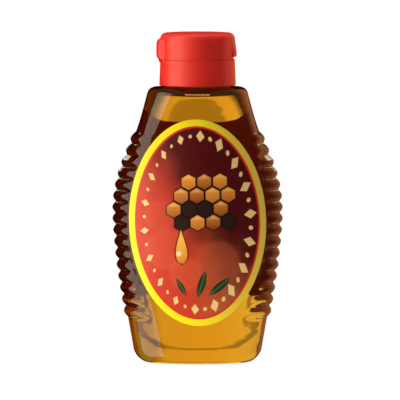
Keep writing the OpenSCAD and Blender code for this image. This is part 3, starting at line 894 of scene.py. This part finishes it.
class SQUEEZE_OT_bottle(Operator):
    """Blown bottle with ribbed sides, label panels, pushed-up base and threaded neck"""
    bl_idname = "squeeze.bottle"
    bl_label = "Bottle"

    def execute(self, context):
        body, s = Body(), settings().body
        lip_z = body.neck_top - LIP_H
        outer = body.skin(0, 0, s.shoulder_z, OUTSIDE_STEPS)
        neck = body.neck_rings(outer[-1], s.neck_r, lip_z, False)
        inner = body.skin(s.wall, s.floor_t, s.shoulder_z - s.wall, INSIDE_STEPS)
        bore = body.neck_rings(inner[-1], s.neck_bore_r, lip_z, True)
        middle, half = (s.neck_r + s.neck_bore_r) / 2, (s.neck_r - s.neck_bore_r) / 2
        lip = [body.circle(r, z) for r, z in arc(middle, lip_z, half, LIP_H, 0, 180, 10)[1:-1]]
        bottle = lofted("bottle_shell", outer + neck + lip + bore[::-1] + inner[::-1])
        joined(bottle, thread_ridge("neck_thread", s.neck_r, THREAD_OUT, THREAD_START, 1.5, 0))
        smooth(bottle, 42)
        wet_top = body.honey_z

        def chosen(at, normal):
            """1 for the inside of the wall where honey wets it, which bends no light, and 0 for the rest."""
            if at.z > wet_top:
                return 0
            if abs(normal.z) > 0.6:
                return int(normal.z > 0 and at.z < 10 * MM or normal.z < 0 and at.z > s.shoulder_z - 3 * MM)
            return int(normal.x * at.x / s.body_w**2 + normal.y * at.y / s.body_d**2 < 0)

        dress(bottle, "bottle",
              [shared("Clear_blown_plastic", clear_plastic), shared("Wall_wet_with_honey", wetted_wall)],
              ["bottle"], chosen)
        return {"FINISHED"}


class SQUEEZE_OT_honey(Operator):
    """Honey that fills the bottle into its neck"""
    bl_idname = "squeeze.honey"
    bl_label = "Honey"

    def execute(self, context):
        body, s = Body(), settings().body
        film = s.wall + HONEY_GAP
        side = body.skin(film, s.floor_t + HONEY_GAP, s.shoulder_z - film, INSIDE_STEPS)
        neck = body.neck_rings(side[-1], s.neck_bore_r - HONEY_GAP, body.honey_z, True)
        top = [neck[-1] * np.array([k, k, 1]) - np.array([0, 0, dip * MM]) for k, dip in HONEY_DIPS]
        honey = lofted("honey_fill", side + neck + top)
        smooth(honey, 42)
        free = body.honey_z - 0.5 * MM
        dress(honey, "bottle",
              [shared("Honey_at_wall", honey_material, 1.0),
               shared("Honey_free_surface", honey_material, 1.49)],
              ["honey"], lambda at, normal: int(at.z > free and normal.z > 0.5))
        return {"FINISHED"}


def film_on_panel(name, half_w, half_h, lean, side, low=None, high=None):
    """Printed film on a label panel: rings are extruded inwards from an oval, laid on the panel's curve and
    given their thickness."""
    s, label = settings().body, settings().label
    clear_selection()
    bpy.ops.mesh.primitive_circle_add(vertices=LABEL_POINTS, radius=1, fill_type="NOTHING")
    film = just_made(name)
    size = 1.0
    with editing(film):
        for target in (0.995, 0.97, 0.9, 0.8, 0.7, 0.6, 0.5, 0.4, 0.3, 0.2, 0.1):
            bpy.ops.mesh.extrude_region_move()
            bpy.ops.transform.resize(value=(target / size,) * 3, center_override=(0, 0, 0))
            size = target
        bpy.ops.mesh.edge_face_add()
    co = places(film)
    x, z = co[:, 0] * half_w, co[:, 1] * half_h
    if low is not None:
        z = np.clip(z, low - label.centre_z, high - label.centre_z)
    x, z = x * math.cos(lean) - z * math.sin(lean), x * math.sin(lean) + z * math.cos(lean) + label.centre_z
    under = s.panel_r - FILM_SUNK
    y = side * (np.sqrt(under**2 - x**2) - (s.panel_r - s.body_d / 2))
    move_to(film, np.stack([x, y, z], 1))
    with editing(film):
        bpy.ops.mesh.remove_doubles(threshold=1e-6)
    outward = sum(face.normal.y * side * face.area for face in film.data.polygons)
    if outward < 0:
        film.data.flip_normals()
    modify(film, "SOLIDIFY", thickness=label.thickness + FILM_SUNK, offset=1)
    smooth(film, 30)
    return film


class SQUEEZE_OT_labels(Operator):
    """Oval printed film on the front panel and flat-ended film on the back panel"""
    bl_idname = "squeeze.labels"
    bl_label = "Labels"

    def execute(self, context):
        label = settings().label
        inside = shared("Label_glued_side", label_inside)
        front = film_on_panel("label_front", label.width / 2, label.height / 2, label.lean, -1)
        dress(front, "bottle", [shared("Label_print_front", label_print, True), inside],
              ["front_label"], lambda at, normal: int(normal.y > 0.5))
        back = film_on_panel("label_back", label.width / 2, label.height / 2 + label.past, 0, 1,
                             label.back_low, label.back_high)
        dress(back, "bottle", [shared("Label_print_back", label_print, False), inside],
              ["back_label"], lambda at, normal: int(normal.y < -0.5))
        return {"FINISHED"}


class SQUEEZE_OT_liner(Operator):
    """Foam liner between the neck's lip and the cap"""
    bl_idname = "squeeze.liner"
    bl_label = "Liner"

    def execute(self, context):
        body, cap = Body(), settings().cap
        low, high, soft = body.neck_top, body.neck_top + cap.liner_t, 0.2 * MM
        inner, outer = cap.liner_hole_r + soft, cap.bore_r - 0.15 * MM - soft
        pressed = low + 0.02 * MM
        profile = (arc(inner, low + soft, soft, soft, 180, 270, 3)
                   + [(body.s.neck_bore_r, pressed), (body.s.neck_r, pressed)]
                   + arc(outer, low + soft, soft, soft, -90, 0, 3)
                   + arc(outer, high - soft, soft, soft, 0, 90, 3)
                   + arc(inner, high - soft, soft, soft, 90, 180, 3))
        liner = turned("liner_ring", profile, LINER_POINTS, ring=True)
        smooth(liner)
        dress(liner, "liner", [shared("Liner_foam", liner_foam)], ["liner"])
        return {"FINISHED"}


def cap_levels():
    """The cap's sizes, the height of its parting line and that of its skirt's lower edge."""
    cap = settings().cap
    parting = Body().neck_top + cap.liner_t + cap.deck_t
    return cap, parting, parting - cap.skirt_h


class SQUEEZE_OT_cap_base(Operator):
    """Screw skirt, deck, spout and the ring that the lid closes over"""
    bl_idname = "squeeze.cap_base"
    bl_label = "Cap base"

    def execute(self, context):
        cap, top, low = cap_levels()
        under = top - cap.deck_t
        soft = 0.6 * MM
        ring_out = cap.parting_r - cap.lid_t - 0.3 * MM
        ring_in, ring_top = ring_out - cap.snap_t, top + cap.snap_h
        lip = (cap.spout_lip_r - cap.orifice_r) / 2
        spout_top = top + cap.spout_h
        outside = (arc(cap.skirt_r - soft, low + soft, soft, soft, -90, 0, 5)
                   + [(cap.skirt_r - (cap.skirt_r - cap.parting_r) * t,
                       low + soft + (cap.skirt_h - soft - cap.edge) * t) for t in (0.25, 0.5, 0.75, 0.97)]
                   + arc(cap.parting_r - cap.edge, top - cap.edge, cap.edge, cap.edge, 0, 90, 4))
        ring = ([(ring_out + 0.15 * MM, top), (ring_out, top + 0.15 * MM), (ring_out, ring_top - 0.7 * MM)]
                + arc(ring_out - 0.2 * MM, ring_top - 0.35 * MM, 0.28 * MM, 0.35 * MM, -30, 90, 5)
                + arc(ring_in + 0.25 * MM, ring_top - 0.25 * MM, 0.25 * MM, 0.25 * MM, 90, 180, 3)
                + [(ring_in, top + 0.25 * MM), (ring_in - 0.25 * MM, top)])
        rise = [(cap.spout_lip_r + (cap.spout_foot_r - cap.spout_lip_r) * (1 - math.sin(a)),
                 top + (cap.spout_h - lip) * (1 - math.cos(a)) * 0.92)
                for a in np.radians(np.linspace(4, 90, 12))]
        spout = ([(cap.spout_foot_r + 0.3 * MM, top)] + rise
                 + arc(cap.orifice_r + lip, spout_top - lip, lip, lip, 0, 180, 10))
        funnel_r, funnel_top = cap.spout_foot_r - cap.deck_t, top + cap.spout_h * 0.5
        inside = [(cap.orifice_r, funnel_top + 0.4 * MM), (cap.orifice_r + 0.1 * MM, funnel_top),
                  (funnel_r - 0.15 * MM, under + 0.2 * MM), (funnel_r + 0.1 * MM, under),
                  (cap.bore_r - 0.3 * MM, under), (cap.bore_r, under - 0.3 * MM),
                  (cap.bore_r, low + 0.4 * MM), (cap.bore_r + 0.35 * MM, low)]
        base = turned("cap_base_moulding", outside + ring + spout + inside, CAP_POINTS, ring=True)
        start_z = THREAD_START - CAP_THREAD_BELOW + settings().body.lead * CAP_THREAD_TURN
        joined(base, thread_ridge("cap_thread", cap.bore_r, -THREAD_OUT, start_z, 1.25, CAP_THREAD_TURN))
        smooth(base, 34)
        dress(base, "cap", [cap_red()], ["cap_base"])
        return {"FINISHED"}


class SQUEEZE_OT_lid(Operator):
    """Flip lid with its hinge boss, thumb tab, finger recess and plug"""
    bl_idname = "squeeze.lid"
    bl_label = "Flip lid"

    def execute(self, context):
        cap, low, _ = cap_levels()
        top = low + cap.lid_h
        inner_r, inner_top = cap.parting_r - cap.lid_t, top - cap.lid_t
        inner_edge = cap.lid_edge_r - cap.lid_t
        wall_h = cap.lid_h - cap.lid_edge_h
        tip, spout_top = low + cap.spout_h - cap.plug_in, low + cap.spout_h
        tip_r, plug_r = cap.plug_tip_r, cap.plug_r
        plug = [(0.4 * MM, tip), (tip_r - 0.4 * MM, tip), (tip_r - 0.1 * MM, tip + 0.1 * MM),
                (tip_r, tip + 0.4 * MM), (plug_r, spout_top), (plug_r, spout_top + 0.35 * MM),
                (plug_r + 0.8 * MM, inner_top - 0.6 * MM), (plug_r + 1.5 * MM, inner_top)]
        inside = (arc(inner_r - inner_edge, inner_top - inner_edge, inner_edge, inner_edge, 90, 0, 6)
                  + [(inner_r, low + 0.4 * MM), (inner_r + 0.2 * MM, low + 0.08 * MM),
                     (inner_r + 0.35 * MM, low)])
        rim = arc(cap.parting_r - cap.edge, low + cap.edge, cap.edge, cap.edge, -90, 0, 4)
        levels = LID_LEVELS + list(np.linspace(2.8, wall_h / MM - 0.5, 18)) + [wall_h / MM - 0.1]
        wall = [(cap.parting_r, low + h * MM) for h in levels]
        crown = [(cap.parting_r - cap.lid_edge_r * (1 - math.cos(a)) - 0.02 * MM,
                  low + wall_h + cap.lid_edge_h * math.sin(a)) for a in np.radians(np.linspace(6, 90, 12))]
        disc = [(cap.parting_r - cap.lid_edge_r - 0.5 * MM, top), (12 * MM, top), (1.3 * MM, top),
                (1.15 * MM, top - 0.05 * MM), (1.0 * MM, top - 0.15 * MM), (0.4 * MM, top - 0.15 * MM)]
        lid = turned("flip_lid_moulding", plug + inside + rim + wall + crown + disc, LID_POINTS)
        co = places(lid)
        wide = np.hypot(co[:, 0], co[:, 1])
        up = co[:, 2] - low
        outer = (wide > cap.parting_r - cap.edge * 1.2) & (up < wall_h + 0.01 * MM)
        ends = 1 - ease((np.abs(co[:, 1]) - (cap.lug_half - LUG_END)) / LUG_END)
        lean = np.clip(1 - up / (wall_h / 2), -1, 1)
        boss = cap.boss_out * np.power(np.clip(1 - lean**4, 0, 1), 0.4) * (co[:, 0] < 0)
        recess, tab = cap.recess_h, cap.tab_out
        flare = np.interp(
            up, [0, recess - 0.05 * MM, recess + 0.05 * MM, recess + 0.7 * MM, wall_h / 3, wall_h],
            [-cap.recess_d, -cap.recess_d, tab - 0.25 * MM, tab, tab, 0])
        grow = np.where(outer, (boss + flare * (co[:, 0] > 0)) * ends, 0)
        co[:, :2] *= ((wide + grow) / np.maximum(wide, 1e-9))[:, None]
        move_to(lid, co)
        smooth(lid, 34)
        dress(lid, "lid", [cap_red()], ["flip_lid"])
        return {"FINISHED"}


class SQUEEZE_OT_strap(Operator):
    """Thin strap that joins the lid to the cap base"""
    bl_idname = "squeeze.strap"
    bl_label = "Hinge strap"

    def execute(self, context):
        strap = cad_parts["hinge_strap"]
        strap.data.materials.clear()
        strap.data.materials.append(cap_red())
        return {"FINISHED"}


class SQUEEZE_PT_pieces(Panel):
    """Lists the pieces of the bottle"""
    bl_label = "Honey bottle"
    bl_idname = "SQUEEZE_PT_pieces"
    bl_space_type = "VIEW_3D"
    bl_region_type = "UI"
    bl_category = "Honey bottle"

    def draw(self, context):
        for operator in OPERATORS:
            self.layout.operator(operator.bl_idname)
        for group in ("body", "label", "cap", "colours"):
            box = self.layout.box()
            box.label(text=group.capitalize())
            values = getattr(settings(), group)
            for name in values.__annotations__:
                box.prop(values, name)


OPERATORS = (SQUEEZE_OT_stage, SQUEEZE_OT_bottle, SQUEEZE_OT_honey, SQUEEZE_OT_labels, SQUEEZE_OT_liner,
             SQUEEZE_OT_cap_base, SQUEEZE_OT_lid, SQUEEZE_OT_strap)
CLASSES = (SQUEEZE_BodySizes, SQUEEZE_LabelSizes, SQUEEZE_CapSizes, SQUEEZE_Colours, SQUEEZE_Settings,
           *OPERATORS, SQUEEZE_PT_pieces)


def register():
    for cls in CLASSES:
        bpy.utils.register_class(cls)
    bpy.types.Scene.squeeze_bottle = PointerProperty(type=SQUEEZE_Settings)


def unregister():
    del bpy.types.Scene.squeeze_bottle
    for cls in reversed(CLASSES):
        bpy.utils.unregister_class(cls)


def main():
    register()
    bpy.ops.squeeze.stage()
    bpy.ops.squeeze.bottle()
    bpy.ops.squeeze.honey()
    bpy.ops.squeeze.labels()
    bpy.ops.squeeze.liner()
    bpy.ops.squeeze.cap_base()
    bpy.ops.squeeze.lid()
    bpy.ops.squeeze.strap()
    clear_selection()
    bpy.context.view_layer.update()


if __name__ == "__main__":
    main()
